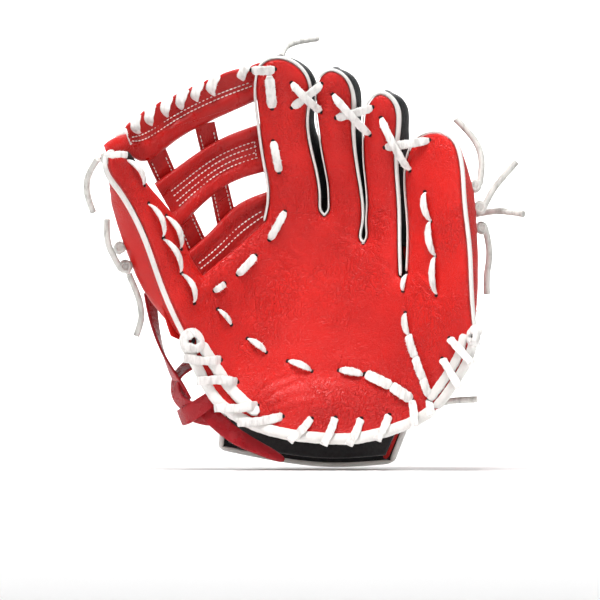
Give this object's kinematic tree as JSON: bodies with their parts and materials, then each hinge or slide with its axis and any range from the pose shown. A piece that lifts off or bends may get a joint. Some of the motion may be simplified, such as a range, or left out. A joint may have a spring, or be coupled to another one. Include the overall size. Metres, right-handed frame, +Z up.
{
  "type": "baseball fielder's glove",
  "caption": "Left-hand fielder's glove with finger stalls, an H-web, lacing and a padded palm; thumb and pinky sides fold towards the pocket.",
  "frame": {"origin": "middle of the wrist opening, where the hand goes in", "axes": "+Z up along the fingers, -Y out of the catching side, -X towards the thumb"},
  "size_m": [0.3055, 0.128, 0.3031],
  "materials": {
    "red_leather": "satin, fine grain",
    "black_leather": "satin, fine grain",
    "white_trim": "smooth satin",
    "lace": "matt rawhide with a fuzzy edge",
    "lining": "soft matt",
    "padding": "matt felt",
    "fleece": "matt pile",
    "stay": "matt"
  },
  "bodies": {
    "palm": {"back_yoke": "red_leather", "corner_lace": "lace", "heel_binding": "white_trim", "heel_lace": "lace", "index_back": "black_leather", "index_lace": "lace", "index_lining": "lining", "index_middle_tip_lace": "lace", "index_piping": "white_trim", "index_tip_tail": "lace", "middle_back": "black_leather", "middle_lining": "lining", "middle_piping": "white_trim", "middle_ring_tip_lace": "lace", "palm_leather": "red_leather", "palm_lining": "lining", "palm_pad": "padding", "palm_web_lace": "lace", "pinky_hinge_lace": "lace", "pocket_lace": "lace", "ring_back": "black_leather", "ring_lining": "lining", "ring_pinky_tip_lace": "lace", "ring_piping": "white_trim", "thumb_heel_knot": "lace", "tie_knot": "red_leather", "tie_strap": "red_leather", "tie_strap_end": "red_leather", "web_bottom_strap": "red_leather", "web_left_post": "red_leather", "web_middle_strap": "red_leather", "web_right_post": "red_leather", "web_top_lace": "lace", "web_top_strap": "red_leather", "wrist_fleece": "fleece", "wrist_strap": "black_leather", "wrist_strap_binding": "white_trim"},
    "thumb": {"thumb_back": "red_leather", "thumb_lace": "lace", "thumb_leather": "red_leather", "thumb_lining": "lining", "thumb_lower_tail": "lace", "thumb_piping": "white_trim", "thumb_side_tail": "lace", "thumb_stay": "stay", "thumb_tip_tail": "lace"},
    "pinky": {"pinky_back": "red_leather", "pinky_cross_tail": "lace", "pinky_heel_binding": "white_trim", "pinky_heel_knot": "lace", "pinky_heel_lace": "lace", "pinky_lace": "lace", "pinky_leather": "red_leather", "pinky_lining": "lining", "pinky_lower_tail": "lace", "pinky_piping": "white_trim", "pinky_side_tail": "lace", "pinky_stay": "stay", "pinky_upper_tail": "lace", "heel_tail": "lace"}
  },
  "joints": [
    {"name": "thumb_fold", "type": "hinge", "parent": "palm", "child": "thumb", "pos_m": [-0.074, -0.03604, 0.108], "axis": [0.1407, 0.0973, 0.9852], "range_deg": [0, 40], "deforming": ["web_bottom_strap", "web_left_post", "web_middle_strap", "web_right_post", "web_top_lace", "web_top_strap", "thumb_heel_knot"]},
    {"name": "pinky_fold", "type": "hinge", "parent": "palm", "child": "pinky", "pos_m": [0.0664, -0.03503, 0.1045], "axis": [0.2478, -0.2132, -0.9451], "range_deg": [0, 35], "deforming": ["ring_pinky_tip_lace"]}
  ]
}
